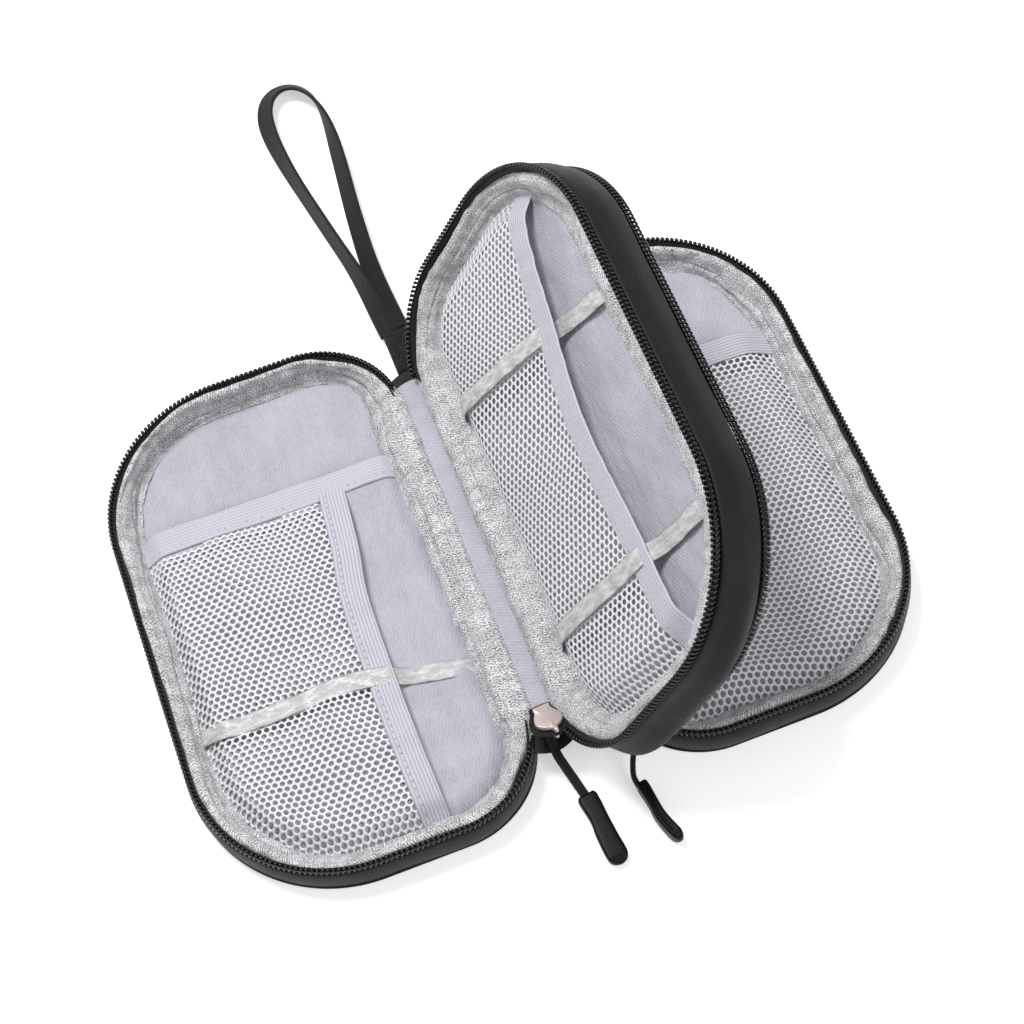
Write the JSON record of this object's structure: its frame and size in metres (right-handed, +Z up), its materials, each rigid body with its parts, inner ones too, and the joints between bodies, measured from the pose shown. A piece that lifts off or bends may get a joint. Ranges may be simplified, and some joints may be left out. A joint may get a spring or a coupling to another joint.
{
  "type": "cable organizer pouch",
  "caption": "Double-layer zip-around soft travel pouch opened like a book, with mesh pockets, ribbons, corded zipper pulls and a wrist strap.",
  "frame": {"origin": "centre of the front cover's flat back, on the surface it lies on", "axes": "+X from the front cover across the spine to the rear cover, +Y along the spine towards the wrist strap, +Z up out of the covers"},
  "size_m": [0.2462, 0.34, 0.1064],
  "materials": {
    "nylon": "matte fine-woven black nylon",
    "lining": "lavender-grey twill polyester",
    "heather": "padded silver-grey heathered knit",
    "netting": "white-grey knitted mesh",
    "elastic": "ribbed lavender elastic edging",
    "ribbon": "silver satin ribbon",
    "zip_tape": "black woven zipper tape",
    "zip_coil": "black nylon coil",
    "slider_metal": "satin nickel with a warm tint",
    "cord": "black braided cord",
    "grip": "satin black rubber",
    "webbing": "black folded webbing",
    "board": "foamed stiffening board"
  },
  "bodies": {
    "front_cover": {"front_back_panel": "nylon", "front_foam_board": "board", "front_lining": "lining", "front_gusset": "nylon", "front_wall_lining": "heather", "front_zip_tape": "zip_tape", "front_zip_coil": "zip_coil", "front_pocket_panel": "lining", "front_pocket_trim": "elastic", "front_mesh_pocket": "netting", "front_mesh_trim": "elastic", "front_ribbon": "ribbon"},
    "front_spine": {"front_spine_fabric": "nylon", "front_spine_lining": "lining", "strap_tab": "webbing"},
    "middle_leaf": {"middle_gusset": "nylon", "middle_board": "board", "middle_front_lining": "lining", "middle_rear_lining": "lining", "middle_front_wall_lining": "heather", "middle_rear_wall_lining": "heather", "middle_front_zip_tape": "zip_tape", "middle_front_zip_coil": "zip_coil", "middle_rear_zip_tape": "zip_tape", "middle_rear_zip_coil": "zip_coil", "middle_mesh_pocket": "netting", "middle_mesh_trim": "elastic", "middle_ribbon_upper": "ribbon", "middle_ribbon_lower": "ribbon"},
    "rear_spine": {"rear_spine_fabric": "nylon", "rear_spine_lining": "lining"},
    "rear_cover": {"rear_back_panel": "nylon", "rear_foam_board": "board", "rear_lining": "lining", "rear_gusset": "nylon", "rear_wall_lining": "heather", "rear_zip_tape": "zip_tape", "rear_zip_coil": "zip_coil", "rear_mesh_pocket": "netting", "rear_mesh_trim": "elastic"},
    "front_slider": {"front_slider_body": "slider_metal"},
    "front_pull": {"front_pull_cord": "cord", "front_pull_grip": "grip"},
    "rear_slider": {"rear_slider_body": "slider_metal"},
    "rear_pull": {"rear_pull_cord": "cord", "rear_pull_grip": "grip"},
    "wrist_strap": {"strap_webbing": "webbing", "strap_stitch_block": "webbing"}
  },
  "joints": [
    {"name": "front_strip_fold", "type": "hinge", "parent": "front_cover", "child": "front_spine", "pos_m": [0.055, 0, 0.011], "axis": [0, -1, 0], "range_deg": [-36.15, 78]},
    {"name": "front_fold", "type": "hinge", "parent": "front_spine", "child": "middle_leaf", "pos_m": [0.06331, 0, 0.01277], "axis": [0, -1, 0], "range_deg": [-20.85, 45]},
    {"name": "rear_strip_fold", "type": "hinge", "parent": "middle_leaf", "child": "rear_spine", "pos_m": [0.07506, 0, 0.00514], "axis": [0, 1, 0], "range_deg": [0, 76.56]},
    {"name": "rear_fold", "type": "hinge", "parent": "rear_spine", "child": "rear_cover", "pos_m": [0.08121, 0, 0.011], "axis": [0, -1, 0], "range_deg": [0, 133.56]},
    {"name": "front_slider_travel", "type": "hinge", "parent": "middle_leaf", "child": "front_slider", "pos_m": [0.08661, -0.063, 0.03579], "axis": [-0.8387, 0, 0.5446], "range_deg": [0, 76]},
    {"name": "rear_slider_travel", "type": "hinge", "parent": "middle_leaf", "child": "rear_slider", "pos_m": [0.08661, -0.063, 0.03579], "axis": [-0.8387, 0, 0.5446], "range_deg": [0, 47]},
    {"name": "front_pull_swing", "type": "hinge", "parent": "front_slider", "child": "front_pull", "pos_m": [0.05908, -0.07067, 0.01405], "axis": [0.8387, 0, -0.5446], "range_deg": [-45, 12]},
    {"name": "rear_pull_swing", "type": "hinge", "parent": "rear_slider", "child": "rear_pull", "pos_m": [0.08225, -0.08582, 0.00841], "axis": [0.8387, 0, -0.5446], "range_deg": [-45, 12]},
    {"name": "strap_swing", "type": "hinge", "parent": "front_spine", "child": "wrist_strap", "pos_m": [0.05986, 0.0771, 0.0048], "axis": [1, 0, 0], "range_deg": [-38, 45]}
  ],
  "couplings": [
    {"joint": "front_strip_fold", "follows": "front_fold", "ratio": 1.7333},
    {"joint": "rear_strip_fold", "follows": "rear_fold", "ratio": 0.57323}
  ]
}
